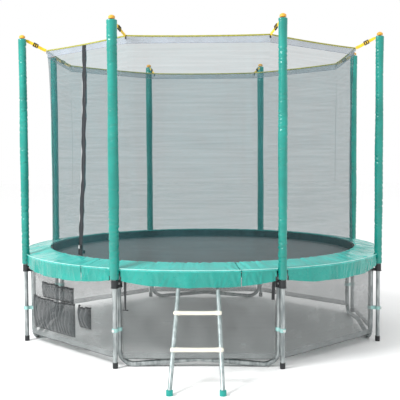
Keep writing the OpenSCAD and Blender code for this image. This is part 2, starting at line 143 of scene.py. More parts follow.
def skin(name, patches, made, close=(False, False), caps=False, away_from=None, sharp=None):
    """One mesh from grids of points[i, j]. A cell (i, j) to (i + 1, j + 1) is one quad, and its UV is the
    mean run along each direction in metres. A closed grid is turned by the sign of its volume, and an
    open one so that it faces away from away_from."""
    verts, faces, uvs, base = [], [], [], 0
    closed = caps or all(close)
    for grid in patches:
        m, n = grid.shape[:2]
        i = np.arange(m if close[0] else m - 1)[:, None]
        j = np.arange(n if close[1] else n - 1)[None, :]
        ring = [(i, j), (i + 1, j), (i + 1, j + 1), (i, j + 1)]
        quads = np.stack([(a % m) * n + b % n + 0 * (i + j) for a, b in ring], -1).reshape(-1, 4)
        steps_u = np.linalg.norm(np.roll(grid, -1, 0) - grid, axis=2).mean(1)
        steps_v = np.linalg.norm(np.roll(grid, -1, 1) - grid, axis=2).mean(0)
        run_u = np.concatenate([[0], np.cumsum(steps_u)])
        run_v = np.concatenate([[0], np.cumsum(steps_v)])
        corner = [np.stack([run_u[a] + 0 * b, run_v[b] + 0 * a], -1) for a, b in ring]
        uv = np.stack(corner, 2).reshape(-1, 4, 2)
        flat = grid.reshape(-1, 3)
        a, b, c, d = (flat[quads[:, k]] for k in range(4))
        if closed:
            turn = (np.einsum("ij,ij->i", a, np.cross(b, c) + np.cross(c, d))).sum() < 0
            if caps:
                middle = flat.mean(0)
                turn = np.einsum("ij,ij->i", (a + c) / 2 - middle, np.cross(c - a, d - b)).sum() < 0
        else:
            start = np.array(away_from if away_from is not None else (0, CENTRE_Y, 1.0))
            turn = np.einsum("ij,ij->i", (a + c) / 2 - start, np.cross(c - a, d - b)).sum() < 0
        if turn:
            quads, uv = quads[:, ::-1], uv[:, ::-1]
        faces += (quads + base).tolist()
        uvs.append(uv.reshape(-1, 2))
        if caps:
            first, last = np.arange(n), (m - 1) * n + np.arange(n)
            ends = [first, last[::-1]] if turn else [first[::-1], last]
            faces += [(e + base).tolist() for e in ends]
            uvs.append(np.zeros((2 * n, 2)))
        verts.append(flat)
        base += len(flat)
    mesh = bpy.data.meshes.new(name)
    mesh.from_pydata(np.concatenate(verts).tolist(), [], faces)
    mesh.uv_layers.new(name="UVMap").data.foreach_set("uv", np.concatenate(uvs).ravel())
    mesh.materials.append(made)
    mesh.shade_smooth()
    if sharp:
        mesh.set_sharp_from_angle(angle=math.radians(sharp))
    obj = bpy.data.objects.new(name, mesh)
    bpy.context.scene.collection.objects.link(obj)
    return obj


def swept(path, section, up=(0, 0, 1), closed=False):
    """A section (k, 2) carried along a path (n, 3): its first number goes to the side, the second up."""
    path = np.asarray(path, float)
    if closed:
        along = np.roll(path, -1, 0) - np.roll(path, 1, 0)
    else:
        along = np.gradient(path, axis=0)
    along /= np.linalg.norm(along, axis=1, keepdims=True)
    side = np.cross(along, np.broadcast_to(np.asarray(up, float), along.shape))
    side /= np.linalg.norm(side, axis=1, keepdims=True)
    over = np.cross(side, along)
    section = np.asarray(section, float)
    if section.ndim == 2:
        section = np.broadcast_to(section, (len(path), *section.shape))
    return path[:, None] + section[..., :1] * side[:, None] + section[..., 1:] * over[:, None]


def oval(width, height, count=16, power=1.0):
    """A closed section: (w/2 cos^p, h/2 sin^p), a small power making it boxier."""
    t = np.arange(count) * 2 * np.pi / count
    shape = lambda v: np.sign(v) * np.abs(v) ** power
    return np.stack([width / 2 * shape(np.cos(t)), height / 2 * shape(np.sin(t))], -1)


scene = bpy.context.scene
scene.view_settings.view_transform = "Standard"
world = bpy.data.worlds.new("surroundings")
world.use_nodes = True
world.node_tree.nodes["Background"].inputs["Color"].default_value = (1, 1, 1, 1)
world.node_tree.nodes["Background"].inputs["Strength"].default_value = 1.0
scene.world = world

floor_half = 40
corner = np.array([-floor_half, floor_half], float)
floor_points = np.stack([*np.meshgrid(corner, corner, indexing="ij"), np.zeros((2, 2))], -1)
floor_paint = finish("floor_paint", (0.99, 0.99, 0.99), 0.9)
relief(floor_paint, noise(floor_paint, 60), 0.0003)
floor = skin("floor", [floor_points], floor_paint, away_from=(0, 0, -1))

lamp = bpy.data.objects.new("broad_lamp", bpy.data.lights.new("broad_lamp", "AREA"))
lamp.data.shape = "DISK"
lamp.data.size = 2.6
lamp.data.energy = 560
lamp.location = (-5.0, -4.5, 6.0)
lamp.rotation_euler = (Vector((0, CENTRE_Y, 1)) - lamp.location).to_track_quat("-Z", "Y").to_euler()
scene.collection.objects.link(lamp)

camera = bpy.data.objects.new("camera", bpy.data.cameras.new("camera"))
camera.data.sensor_width = 36
camera.data.lens = 69.48
camera_distance = 6.9012
camera_azimuth = math.radians(1.22)
heading, pitch, roll = 0.0243, 0.0539, -0.0049
camera.matrix_world = (
    Matrix.Translation((camera_distance * math.sin(camera_azimuth),
                        CENTRE_Y - camera_distance * math.cos(camera_azimuth), 1.5025))
    @ Matrix.Rotation(heading, 4, "Z")
    @ Matrix.Rotation(math.pi / 2 - pitch, 4, "X")
    @ Matrix.Rotation(roll, 4, "Z")
)
scene.collection.objects.link(camera)
scene.camera = camera

# ---- Steel frame ----
# Round galvanised tube: eight rail segments in tee joints, straight legs, four W-shaped legs and the
# enclosure poles. Zinc gives it a cloudy spangle, drawn out along the tubes, and a satin shine.

STATIONS = 8
STEP = 360 / STATIONS
HALF = STEP / 2
POLES = HALF + STEP * np.arange(STATIONS)

galvanised = finish("galvanised_steel", linear(160, 167, 168), 0.34, Metallic=0.7)
spangle = noise(galvanised, 38, 4, (1, 1, 0.22))
blotch(galvanised, spangle, linear(126, 133, 134), linear(176, 182, 182), 0.38, 0.64)
patchy_gloss(galvanised, noise(galvanised, 90, 2), 0.24, 0.46)
relief(galvanised, noise(galvanised, 420, 2), 0.0002, 0.5)


def repaint(made, *names):
    """Gives these CAD nodes their material."""
    for name in names:
        nodes[name].data.materials.clear()
        nodes[name].data.materials.append(made)
        nodes[name].data.polygons.foreach_set(
            "material_index", np.zeros(len(nodes[name].data.polygons), np.int32))


repaint(galvanised, *[f"top_rail_{i + 1}" for i in range(STATIONS)], "tee_joints", "leg_posts",
        "w_leg_front", "w_leg_right", "w_leg_back", "w_leg_left", "lower_poles", "upper_poles")

zinc = finish("zinc_plated_bolts", linear(205, 208, 208), 0.28, Metallic=0.9)
blotch(zinc, noise(zinc, 160, 2), linear(176, 178, 176), linear(226, 228, 228))
relief(zinc, noise(zinc, 900, 2), 0.0002, 0.4)
repaint(zinc, "bracket_bolts", "ladder_hooks")

# ---- Brackets, clamps and caps ----
# Injection-moulded plastic: black twin-bore brackets and foot caps, pale clamps with a screw knob, and
# amber caps on the poles. Moulding leaves a fine grain and a slight cloudiness in the gloss.


def moulded(name, colour, roughness, shift=0.12, **plain):
    """Moulded plastic: the colour varied by shift, a fine pebble grain and uneven gloss."""
    made = finish(name, colour, roughness, **plain)
    dark = tuple(c * (1 - shift) for c in colour)
    light = tuple(min(c * (1 + shift), 1.0) for c in colour)
    blotch(made, noise(made, 24, 3), dark, light)
    patchy_gloss(made, noise(made, 70, 2), roughness * 0.85, min(roughness * 1.25, 1))
    relief(made, noise(made, 1400, 2), 0.00025, 0.5)
    return made


black_plastic = moulded("black_moulded_plastic", linear(30, 33, 36), 0.42)
repaint(black_plastic, "foot_caps", "upper_brackets")
repaint(moulded("cap_amber_plastic", linear(224, 166, 56), 0.3, 0.08), "pole_caps")
repaint(moulded("clamp_pale_plastic", linear(150, 196, 192), 0.4), "lower_clamps")
repaint(moulded("knob_pale_plastic", linear(214, 220, 218), 0.36), "clamp_bolts")

# ---- Pole sleeves ----
# Foam tubes in a coloured PVC skin, pulled over the enclosure poles. The skin is looser than the
# foam, so it creases across the pole with sharp ridges, and its ends are tucked in.

pole_ring = 1.565
sleeve_low, sleeve_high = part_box("pole_sleeves")
sleeve_rim = sleeve_high.z + 0.022
sleeve_r = 0.031
pole_r = 0.0159
teal = linear(8, 146, 134)


def vinyl(name, colour, roughness=0.26, grain=900):
    """Coated PVC cloth: the base fabric's grid shows faintly through a glossy skin, with soft dents."""
    made = finish(name, colour, roughness, Coat_Weight=0.25, Coat_Roughness=0.12)
    blotch(made, noise(made, 7, 3), tuple(c * 0.88 for c in colour), tuple(min(c * 1.1, 1) for c in colour))
    patchy_gloss(made, noise(made, 16, 3), roughness * 0.8, roughness * 1.35)
    relief(made, noise(made, 26, 2), 0.004, 0.35)
    relief(made, noise(made, grain, 2), 0.0002, 0.4)
    return made


teal_vinyl = vinyl("teal_vinyl", teal)
sleeve_vinyl = vinyl("sleeve_vinyl", linear(8, 136, 124), 0.32)


def creases(seed, u, v, reach_u, reach_v, count, depth, width, length, wrap=None):
    """Summed creases: each a dent exp(-(d / width)^2) across a slanting line with a lip beside it,
    fading along the line over its length. u and v are in the same unit as reach."""
    random = np.random.default_rng(seed)
    total = np.zeros(np.broadcast(u, v).shape)
    for _ in range(count):
        u0, v0 = random.uniform(*reach_u), random.uniform(*reach_v)
        slant = random.uniform(-0.5, 0.5)
        size, wide = random.uniform(0.4, 1.0), width * random.uniform(0.7, 1.5)
        across = v - v0
        if wrap:
            across = (across + wrap / 2) % wrap - wrap / 2
        d = (u - u0) - slant * across
        fade = np.exp(-((across / (length * random.uniform(0.6, 1.3))) ** 2))
        total += size * fade * (0.6 * np.exp(-(((d - 1.5 * wide) / wide) ** 2)) - np.exp(-((d / wide) ** 2)))
    return depth * total


rows, around = 300, 40
turn = np.linspace(0, 2 * np.pi, around, endpoint=False)[None]
rise = np.linspace(sleeve_low.z + 0.004, sleeve_rim - 0.004, rows)[:, None]
girth = 2 * np.pi * sleeve_r
for k, azimuth in enumerate(POLES):
    crumple = creases(100 + k, rise, turn * sleeve_r, (sleeve_low.z, sleeve_high.z), (0, girth), 70,
                      0.0042, 0.0055, 0.045, girth)
    crumple += creases(200 + k, rise, turn * sleeve_r, (sleeve_low.z, 1.15), (0, girth), 36,
                       0.0046, 0.006, 0.05, girth)
    # the front-left sleeve, the last one, is puffed out by 5 mm
    puffed = sleeve_r + (0.005 if k == STATIONS - 1 else 0)
    slack = 0.0012 + 0.0014 * np.sin(2 * turn + 5 * rise + k) + 0.0008 * np.sin(3 * turn - 9 * rise)
    r = np.clip(puffed + crumple + slack, puffed - 0.004, puffed + 0.0034)
    r = sleeve_r + (r - sleeve_r) * np.clip((rise - sleeve_low.z) / 0.05, 0.3, 1)
    ends = [(pole_r + 0.0003, sleeve_low.z), (sleeve_r - 0.004, sleeve_low.z + 0.0005)]
    tops = [(sleeve_r - 0.002, sleeve_rim), (0.0277, sleeve_rim - 0.003), (0.0277, sleeve_high.z - 0.004),
            (pole_r + 0.0003, sleeve_high.z - 0.005)]
    r = np.concatenate([np.full((1, around), e[0]) for e in ends] + [r]
                       + [np.full((1, around), e[0]) for e in tops])
    z = np.concatenate([[[e[1]]] for e in ends] + [rise] + [[[e[1]]] for e in tops])
    middle = polar(pole_ring, azimuth, 0)
    grid = np.stack([middle[0] + r * np.cos(turn), middle[1] + r * np.sin(turn), z + 0 * turn], -1)
    sleeve = skin(f"sleeve_{k + 1}", [grid], sleeve_vinyl, close=(True, True))
    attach(sleeve, "root")
    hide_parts("pole_sleeves")

# ---- Jumping mat ----
# A disc of woven polypropylene in a doubled webbing border. Sixty-four flat steel V-rings are held
# on the border by sewn webbing tabs, and take the springs.

mat_r = (mat_high.x - mat_low.x) / 2
mat_fabric = finish("mat_woven_fabric", linear(52, 55, 58), 0.5, Sheen_Weight=0.25)
blotch(mat_fabric, noise(mat_fabric, 5, 3), linear(44, 47, 50), linear(62, 65, 68))
for way in "XY":
    threads = node(mat_fabric, "TexWave", [("Vector", place_of(mat_fabric)), ("Scale", 240.0)],
                   bands_direction=way)
    relief(mat_fabric, threads.outputs[1], 0.0004, 0.5)

# A square grid rounded into a disc: x = u sqrt(1 - v^2 / 2), y = v sqrt(1 - u^2 / 2)
line = np.linspace(-1, 1, 73)
u, v = np.meshgrid(line, line, indexing="ij")
x, y = mat_r * u * np.sqrt(1 - v * v / 2), mat_r * v * np.sqrt(1 - u * u / 2)
ripple = 0.0006 * np.sin(11 * x + 4 * y) * np.cos(9 * y - 3 * x)
mat_sheet = skin("jumping_mat", [np.stack([x, y + CENTRE_Y, mat_high.z - 0.001 + ripple], -1)],
                 mat_fabric, away_from=(0, CENTRE_Y, 0))
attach(mat_sheet, "mat")
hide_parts("mat")


def webbing(name, colour, pitch=420, kind="Object", roughness=0.62, sheen=0.2):
    """Woven webbing: ribs pitch to the metre across two directions, and a little sheen."""
    made = finish(name, colour, roughness, Sheen_Weight=sheen)
    dark = tuple(c * 0.72 for c in colour)
    blotch(made, noise(made, 30, 3, kind=kind), dark, tuple(min(c * 1.15, 1) for c in colour))
    for way in "XY":
        ribs = node(made, "TexWave", [("Vector", place_of(made, kind=kind)), ("Scale", pitch / math.tau)],
                    bands_direction=way)
        relief(made, ribs.outputs[1], 0.0005, 0.6)
    return made


black_webbing = webbing("black_webbing", linear(34, 38, 40))
strip_webbing = webbing("black_strip_webbing", linear(34, 38, 40), kind="UV")
repaint(black_webbing, "mat_border")
repaint(zinc, "v_rings")

SPRINGS = 64
spring_azimuths = (np.arange(SPRINGS) + 0.5) * 360 / SPRINGS
mat_z = (mat_low.z + mat_high.z) / 2
tab_long, tab_thick, tab_r = 0.021, 0.0092, 1.3235
tabs = []
for azimuth in spring_azimuths:
    across = np.array([-0.012, 0.012])
    forward = polar(1, azimuth, 0) - polar(0, azimuth, 0)
    sideways = np.array([-forward[1], forward[0], 0])
    loop = polar(tab_r, azimuth, mat_z)[None] + 0 * across[:, None] + across[:, None] * sideways
    tabs.append(swept(loop, oval(tab_long, tab_thick, 10, 0.5)))
ring_tabs = skin("ring_tabs", tabs, black_webbing, close=(False, True), caps=True, sharp=50)
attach(ring_tabs, "mat")

# ---- Springs ----
# Close-wound extension springs of zinc-plated wire, drawn from the V-rings out to the rail. Each end
# tapers into a hook.

spring_wire = 0.0032
coil_r = 0.0059
coil_in, coil_out = 1.360, 1.469
turns, per_turn = 22, 8
bright_wire = finish("spring_wire", linear(196, 199, 201), 0.3, Metallic=0.9)
blotch(bright_wire, noise(bright_wire, 120, 2), linear(160, 162, 164), linear(216, 218, 220))
relief(bright_wire, noise(bright_wire, 700, 2), 0.0002, 0.4)
t = np.linspace(0, 1, turns * per_turn + 1)
# The coil tapers to the axis at both ends: r sin(pi t)^0.15
fat = coil_r * np.clip(np.sin(np.pi * t), 0, 1) ** 0.15
coil = np.stack([coil_in + (coil_out - coil_in) * t, fat * np.cos(math.tau * turns * t),
                 fat * np.sin(math.tau * turns * t)], -1)
inner_hook = np.array([[1.337, 0, -0.003], [1.3325, 0, -0.0035], [1.3305, 0, 0], [1.334, 0, 0.0035],
                       [1.348, 0, 0.002]])
outer_hook = np.array([[1.478, 0, 0.001], [1.4855, 0, 0.0015]])
wire_line = np.concatenate([inner_hook, coil, outer_hook])
for k, azimuth in enumerate(spring_azimuths):
    a = math.radians(azimuth)
    out, side = np.array([math.sin(a), -math.cos(a), 0]), np.array([math.cos(a), math.sin(a), 0])
    path = (np.array([0, CENTRE_Y, mat_z]) + wire_line[:, :1] * out + wire_line[:, 1:2] * side
            + wire_line[:, 2:] * np.array([0, 0, 1]))
    spring = skin(f"spring_{k + 1}", [swept(path, oval(spring_wire, spring_wire, 4), up=out + 0.01)],
                  bright_wire, close=(False, True), caps=True)
    tuple(polar(1.480, azimuth, mat_z))
    tuple(polar(1.340, azimuth, mat_z))
    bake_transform(spring)
    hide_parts("springs")

# ---- Spring pad ----
# Eight segments of foam in welded PVC, which cover the springs and the rail. Each is pinched at its
# seams, notched round its pole, and carries a hanging skirt with a bound edge.

pad_in, pad_out, pad_flat = 1.337, 1.560, 1.480
pad_mid_z, pad_climb, pad_half = 0.712, 0.033, 0.0100
pad_gap = 0.12
notch = sleeve_r + 0.0036
fold_z = 0.7205
hem_z = 0.600
slit = 1.66
skirt_r, skirt_least, skirt_most = 1.5590, 1.5555, 1.5690
# The pad tops are the same teal PVC as the skirts, painted paler to stand for the light falling on their
# upper faces: painted light.
painted_light_top_vinyl = vinyl("pad_top_vinyl_painted_light", linear(56, 178, 168), 0.2)
piping_white = vinyl("pad_piping_vinyl", linear(176, 232, 226), 0.3)


def pad_top(first, last, pole, seed, deep):
    """A pillow section, |x|^0.3 by |y|^0.6 of a circle, carried round the rail's arc. It is crowned in
    the middle, thins to 0.45 at the seams over 35 mm, and its outer side gives way round the pole."""
    near = pole + np.linspace(-1.9, 1.9, 44)
    az = np.unique(np.concatenate([np.linspace(first, last, 200), near]))[:, None]
    phi = np.linspace(0, 2 * np.pi, 44, endpoint=False)[None]
    shape = lambda value, power: np.sign(value) * np.abs(value) ** power
    q = (1 + shape(np.cos(phi), 0.35)) / 2
    x = pad_out * np.radians(az - pole)
    cut = pole_ring - np.sqrt(np.maximum(notch**2 - x**2, 0))
    outer = np.where(np.abs(x) < notch, np.minimum(pad_out, cut), pad_out)
    r = pad_in + (outer - pad_in) * q
    middle = pad_mid_z + pad_climb * np.clip((pad_flat - r) / (pad_flat - pad_in), 0, 1)
    run = np.minimum(az - first, last - az) * math.radians(pad_out)
    pinch = 0.45 + 0.55 * np.clip(run / 0.035, 0, 1) ** 0.5
    top = np.sin(phi) > 0
    crown = np.where(top, 0.005 * np.sin(np.pi * q), 0)
    along = np.radians(az) * pad_out + 0 * r
    reach = (float(along.min()), float(along.max()))
    crumple = creases(seed, along, r, reach, (pad_in, pad_out), 46, 0.0042, 0.011, 0.09)
    gathers = 0.0016 * np.exp(-run / 0.03) * np.sin(math.tau * r / 0.021 + seed)
    lift = shape(np.sin(phi), 0.6) * pad_half + crown
    z = middle + pinch * lift + np.where(top, deep * crumple + gathers, 0.15 * crumple)
    return polar(r, az + 0 * phi, z)


def hem_height(az):
    """The hem rises from the middle of the span between two poles to its slits: 34 mm times the cube."""
    off = np.abs((az + HALF) % STEP - HALF) / (HALF - slit)
    return hem_z + 0.034 * np.clip(off, 0, 1) ** 3 + 0.0022 * np.sin(np.radians(az) * 31) * (1 - off**2)


def pad_skirt(first, last, seed, deep=1.0, rows=14):
    """A curtain from the fold down to the hem. Its ripples and creases grow towards the hem."""
    az = np.linspace(first, last, max(int((last - first) * 5), 12))[:, None]
    t = np.linspace(1, 0, rows)[None]
    foot = hem_height(az)
    z = foot + (fold_z - foot) * t
    random = np.random.default_rng(seed)
    waves = sum(random.uniform(0.3, 1) * np.sin(math.tau * (az / random.uniform(3, 14) + random.uniform()))
                for _ in range(6))
    along = np.radians(az) * pad_out
    reach = (float(along.min()), float(along.max()))
    crumple = creases(seed + 1, along + 0 * t, z, reach, (hem_z, fold_z), 22, 0.0055, 0.011, 0.06)
    r = skirt_r + deep * (0.0022 * waves * (1 - t) + crumple * (1 - t) ** 0.5)
    r = np.clip(r, skirt_least, skirt_most)
    return polar(r, az + 0 * t, z)


def arc_line(first, last, r, z, spacing=0.6):
    """A line round the rail at radius r."""
    az = np.linspace(first, last, max(int((last - first) / spacing), 3))
    return polar(r, az, z)


for i in range(STATIONS):
    seam = 11.25 + i * STEP
    first, last, pole = seam + pad_gap, seam + STEP - pad_gap, HALF + i * STEP
    label = i + 1
    # the two segments at the front left are the most rumpled
    deep = 1.7 if label > 6 else 1.0
    pad = skin(f"pad_{label}_top", [pad_top(first, last, pole, 300 + i, deep)], painted_light_top_vinyl,
               close=(False, True), caps=True)
    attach(pad, "root")
    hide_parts(f"pad_{label}")
    spans = [(first, pole - slit)] + ([(pole + slit, last)] if label < STATIONS else [])
    for side, (a, b) in enumerate(spans):
        hanging = pad_skirt(a, b, 400 + 2 * i + side, deep)
        side_skirt = skin(f"pad_{label}_skirt_{side + 1}", [hanging], teal_vinyl)
        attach(side_skirt, "root")
    lines = [arc_line(a, b, skirt_r, fold_z) for a, b in ((first, pole - 1.35), (pole + 1.35, last))]
    piping = skin(f"pad_{label}_piping", [swept(p, oval(0.0045, 0.0045, 8)) for p in lines],
                  piping_white, close=(False, True), caps=True)
    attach(piping, "root")

front_first, front_last = -HALF + slit, 11.25 - pad_gap
front_skirt = skin("front_skirt", [pad_skirt(front_first, front_last, 450)], teal_vinyl)
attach(front_skirt, "root")
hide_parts("front_pad_skirt")
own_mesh(front_skirt)

# ---- Pad edging and ties ----
# Black tape binds the skirt's slits at the poles. Two webbing tails hang inside the front skirt, the
# left one drawn to a point and ending in a toggle.

edges = []
for azimuth in POLES:
    for side in (-1, 1):
        at = azimuth + side * (slit + 0.05)
        foot = float(hem_height(np.array(at)))
        z = np.linspace(foot - 0.002, foot + 0.030, 5)
        edges.append(swept(polar(skirt_r, at, z), oval(0.0036, 0.011, 8, 0.6), up=(math.cos(math.radians(at)),
                     math.sin(math.radians(at)), 0)))
edging = skin("slit_edging", edges, strip_webbing, close=(False, True), caps=True)
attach(edging, "root")

tie_r = 1.537
ties = []
for azimuth, foot, taper in ((-HALF + 2.6, 0.422, 0.45), (HALF - 2.2, 0.495, 1.0)):
    z = np.linspace(0.702, foot, 24)
    t = np.linspace(0, 1, 24)
    width = 0.025 * (1 + (taper - 1) * t**1.5)
    section = oval(1.0, 1.0, 10, 0.5)[None] * np.stack([0 * t + 0.0022, width], -1)[:, None]
    a = math.radians(azimuth)
    path = polar(tie_r + 0.0025 * np.sin(math.pi * t * 1.5), azimuth + 0.05 * np.sin(5 * t), z)
    ties.append(swept(path, section, up=(math.cos(a), math.sin(a), 0)))
tie_tails = skin("tie_tails", ties, strip_webbing, close=(False, True), caps=True, sharp=50)
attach(tie_tails, "root")
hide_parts("pad_ties")
a = math.radians(-HALF + 2.6)
across = np.linspace(-0.022, 0.022, 13)
fat = 0.010 * (0.62 + 0.38 * np.abs(across / 0.022) ** 1.5)
bar = polar(tie_r, -HALF + 2.6, 0.420) + across[:, None] * np.array([math.cos(a), math.sin(a), 0])
toggle = skin("tie_toggle", [swept(bar, oval(1, 1, 12)[None] * fat[:, None, None])], black_plastic,
              close=(False, True), caps=True, sharp=50)
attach(toggle, "root")

# ---- Enclosure net ----
# Knitted polyester mesh: eight panels sewn to a round band at the mat and to straight piping between
# the poles. It is drawn tight at the straps, and falls in soft vertical folds beside the corners.

net_foot_r, net_top_r = 1.3235, 1.3635
net_foot_z, net_top_z = 0.745, 2.385
door_at = -45


def mesh_cloth(name, colour, open_share, pitch=330, sheen=0.2, streak=0.04):
    """Knitted mesh: a grid of threads pitch to the metre on the piece's own run, see-through between
    them, and thicker and thinner in soft clouds."""
    made = finish(name, colour, 0.65, Sheen_Weight=sheen)
    dark, light = tuple(c * 0.85 for c in colour), tuple(min(c * 1.15, 1) for c in colour)
    blotch(made, noise(made, 6, 3, kind="UV"), dark, light)
    threads = []
    for way in "XY":
        ribs = node(made, "TexWave", [("Vector", place_of(made, kind="UV")), ("Scale", pitch / math.tau)],
                    bands_direction=way)
        threads.append(ribs.outputs[1])
        relief(made, threads[-1], 0.0003, 0.4)
    both = node(made, "Math", [(0, threads[0]), (1, threads[1])], operation="MAXIMUM").outputs[0]
    drawn_out = noise(made, 14, 3, (0.09, 3.6, 1), kind="UV")
    cloud = node(made, "MapRange", [("Value", drawn_out), ("To Min", -streak), ("To Max", streak)])
    solid = 1 - open_share
    share = node(made, "MapRange", [("Value", both), ("To Min", solid - 0.1), ("To Max", solid + 0.06)])
    total = node(made, "Math", [(0, share.outputs[0]), (1, cloud.outputs[0])], operation="ADD",
                 use_clamp=True)
    shader = made.node_tree.nodes["Principled BSDF"]
    made.node_tree.links.new(total.outputs[0], shader.inputs["Alpha"])
    return made


net_mesh = mesh_cloth("net_mesh", linear(22, 82, 88), 0.645, sheen=0.04, streak=0.1)
hem_mesh = mesh_cloth("net_hem_mesh", linear(150, 162, 176), 0.5)


def net_surface(azimuth, s, t, outset=0.0):
    """A ruled surface: the foot's arc, s from -1 to 1 over a panel, and the straight top, t from 0 to 1.
    Folds: 17 mm |s|^3 (1 - s^12) sin(34 s) sin(pi t^0.8)^0.5 outwards, with a slow billow of
    the middle, and 20 mm |s|^6 sin(pi t^1.2) inwards beside the corners."""
    low = polar(net_foot_r, azimuth + s * HALF, net_foot_z)
    left, right = polar(net_top_r, azimuth - HALF, net_top_z), polar(net_top_r, azimuth + HALF, net_top_z)
    high = left + (right - left) * ((1 + s) / 2)[..., None]
    points = low + (high - low) * t[..., None]
    out = polar(1.0, azimuth, 0) - polar(0.0, azimuth, 0)
    fullness = 0.017 * np.abs(s) ** 3 * (1 - s**12) * np.sin(np.pi * t**0.8) ** 0.5
    folds = fullness * np.sin(34 * s + 2 * t + azimuth)
    billow = -0.010 * (1 - s**2) * np.sin(np.pi * t)
    centre = np.array([0, CENTRE_Y, 0])
    radial = (points - centre) * (1, 1, 0) / net_foot_r
    tuck = -0.020 * np.abs(s) ** 6 * np.sin(np.pi * t**1.2)
    return points + (folds + billow + outset)[..., None] * out + tuck[..., None] * radial


for i in range(STATIONS):
    azimuth = i * STEP
    if azimuth == 360 + door_at:
        spans = [(-1, -0.048), (0.048, 1)]
    else:
        spans = [(-1, 1)]
    columns = 90 if len(spans) == 1 else 46
    patches = []
    for a, b in spans:
        s, t = np.meshgrid(np.linspace(a, b, columns), np.linspace(0, 1, 40), indexing="ij")
        patches.append(net_surface(azimuth, s, t))
    panel = skin(f"net_{i + 1}", patches, net_mesh)
    wide = 2 * net_foot_r * math.radians(HALF)
    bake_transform(panel)
    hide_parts(f"net_panel_{i + 1}")

hems, lines = [], []
s, t = np.meshgrid(np.linspace(-1, 1, 60), np.linspace(0.972, 1.0, 4), indexing="ij")
for i in range(STATIONS):
    door = i * STEP == 360 + door_at
    for part in ((s < -0.05), (s > 0.05)) if door else ((s > -2),):
        keep = part[:, 0]
        hems.append(net_surface(i * STEP, s[keep], t[keep], 0.0012))
        lines.append(swept(net_surface(i * STEP, s[keep, 0], t[keep, 0], 0.0012), oval(0.003, 0.0045, 6)))
net_hem = skin("net_hem", hems, hem_mesh)
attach(net_hem, "root")
seam_thread = webbing("seam_thread", linear(150, 158, 172), kind="UV")
hem_thread = skin("net_hem_seam", lines, seam_thread, close=(False, True), caps=True)
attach(hem_thread, "root")

# Piping sags 6 mm between the corners: a parabola of the share along each side
piping_r = 0.006
share = np.linspace(0, 1, 24, endpoint=False)
corners = polar(1.365, POLES, 2.393)
ring = np.concatenate([a + (b - a) * share[:, None] - np.array([0, 0, 0.024]) * (share * (1 - share))[:, None]
                       for a, b in zip(corners, np.roll(corners, -1, 0))])
lime = webbing("lime_piping", linear(160, 158, 56), kind="UV", roughness=0.5)
net_piping = skin("net_piping", [swept(ring, oval(2 * piping_r, 2 * piping_r, 12), closed=True)], lime,
                  close=(True, True))
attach(net_piping, "root")
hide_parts("net_top_binding")

# The band at the foot: doubled webbing, puckered by its stitching
band_r, band_low, band_high = 1.3225, 0.6745, 0.0675
az = np.linspace(0, 360, 720, endpoint=False)[:, None]
t = np.linspace(0, 1, 8)[None]
pucker = 0.0016 * np.sin(math.radians(1) * az * 128) + 0.001 * np.sin(math.radians(1) * az * 301)
z = band_low + band_high * t + 0.0030 * np.sin(math.radians(1) * az * 192) * t**2
# The band's black is darker than the other black webbing, to stand for the shade under the pad: partly its
# own black, partly painted shade.
band_webbing_painted_shade = webbing("band_webbing_painted_shade", linear(14, 16, 18), kind="UV", sheen=0.0)
band = skin("net_band", [polar(band_r + pucker * (1 - (2 * t - 1) ** 2), az + 0 * t, z)], band_webbing_painted_shade,
            close=(True, False), away_from=(0, CENTRE_Y, 0.7))
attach(band, "mat")
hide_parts("net_bottom_band")

# ---- Straps ----
# Yellow polyester webbing looped under each cap's head and sewn to the net's corner, in two lengths
# joined by a black ladder buckle. A black patch strengthens the corner.

yellow_webbing = webbing("yellow_webbing", linear(246, 200, 28), kind="UV")
buckle_plastic = moulded("black_buckle_plastic", linear(16, 17, 18), 0.55)
repaint(buckle_plastic, "strap_buckles", "door_clip_socket", "door_clip_plug")
lengths, patches = [], []
for azimuth in POLES:
    a = math.radians(azimuth)
    sideways = (math.cos(a), math.sin(a), 0)
    start, end = polar(1.531, azimuth, 2.466), polar(1.372, azimuth, 2.393)
    for low, high, bow in ((-0.125, 0.455, 0.0), (0.465, 1.0, -0.0025)):
        t = np.linspace(low, high, 16)
        path = start + (end - start) * t[:, None]
        path[:, 2] += bow * np.sin(np.pi * (t - low) / (high - low)) - 0.009 * np.clip(-t / 0.125, 0, 1)
        # the webbing turns from flat to upright over the first quarter
        turned = np.pi / 2 * np.clip((t + 0.125) / 0.25, 0, 1)[:, None]
        flat = oval(0.025, 0.0020, 12, 0.4)
        section = np.stack([flat[:, 0] * np.cos(turned) - flat[:, 1] * np.sin(turned),
                            flat[:, 0] * np.sin(turned) + flat[:, 1] * np.cos(turned)], -1)
        lengths.append(swept(path, section, up=(0, 0, 1)))
    ang = np.linspace(0, 2 * np.pi, 28, endpoint=False)
    hub = polar(pole_ring, azimuth, 2.470)
    loop = hub + 0.0138 * np.stack([np.cos(ang), np.sin(ang), 0 * ang], -1)
    ringed = swept(loop, oval(0.0020, 0.011, 8, 0.5), closed=True)
    lengths.append(np.concatenate([ringed, ringed[:1]]))
    down = np.linspace(0, 0.022, 5)
    patches.append(swept(polar(1.3690, azimuth, 2.389) - np.array([0, 0, 1]) * down[:, None],
                         oval(0.013, 0.0024, 10, 0.4), up=polar(1, azimuth, 0) - polar(0, azimuth, 0)))
straps = skin("corner_straps", lengths, yellow_webbing, close=(False, True), caps=True, sharp=50)
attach(straps, "root")
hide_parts("net_straps")
corner_patches = skin("corner_patches", patches, strip_webbing, close=(False, True), caps=True, sharp=50)
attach(corner_patches, "root")

# ---- Door ----
# A coil zip on black tape runs up the middle of the front-left panel, in a flap of the net. The tape
# is slack, so it waves from side to side. A side-release clip joins the flap at its foot.

